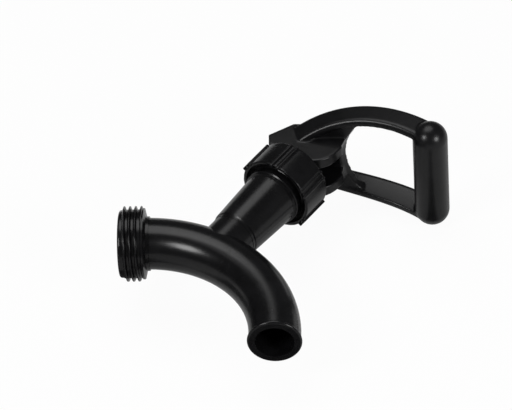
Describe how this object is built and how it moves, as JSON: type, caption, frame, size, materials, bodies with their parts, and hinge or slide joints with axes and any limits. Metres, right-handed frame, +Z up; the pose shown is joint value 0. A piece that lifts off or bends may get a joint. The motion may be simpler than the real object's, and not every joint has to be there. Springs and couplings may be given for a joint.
{
  "type": "beverage dispenser faucet",
  "caption": "Self-closing beverage faucet: threaded inlet collar, curved spout, leaning valve branch with union nut, and a D-shaped cam lever that lifts the stem.",
  "frame": {"origin": "on the inlet axis, where the collar's thread meets its shoulder", "axes": "+X forward along the inlet axis, from the collar towards the spout; +Z up; the outlet points to -Z; the faucet is symmetrical about the XZ plane"},
  "size_m": [0.1611, 0.064, 0.1419],
  "materials": {
    "moulded_black": "black moulded plastic, satin gloss",
    "bush_plastic": "black moulded plastic, matt",
    "stem_plastic": "black bearing plastic, smooth",
    "seat_rubber": "pale grey silicone rubber",
    "ring_rubber": "black nitrile rubber",
    "stainless": "turned stainless steel",
    "spring_wire": "drawn stainless spring wire"
  },
  "bodies": {
    "valve_body": {"spout_body": "moulded_black", "bonnet_nut": "moulded_black", "guide_bush": "bush_plastic", "bush_o_ring": "ring_rubber", "stem_o_ring": "ring_rubber", "return_spring": "spring_wire"},
    "stem": {"stem": "stem_plastic", "seat_cup": "seat_rubber", "seat_washer": "stainless", "seat_screw": "stainless"},
    "handle": {"handle": "moulded_black", "pivot_pin": "stainless"}
  },
  "joints": [
    {"name": "stem_slide", "type": "slide", "parent": "valve_body", "child": "stem", "axis": [0.5505, 0, 0.8348], "range_m": [0, 0.00974], "stiffness_N_per_m": 2200, "springref_m": -0.003, "deforming": ["return_spring"]},
    {"name": "handle_hinge", "type": "hinge", "parent": "stem", "child": "handle", "pos_m": [0.07787, 0, 0.05497], "axis": [0, 1, 0], "range_deg": [0, 90]}
  ],
  "couplings": [
    {"joint": "handle_hinge", "follows": "stem_slide", "rad_per_m": 161.29}
  ]
}
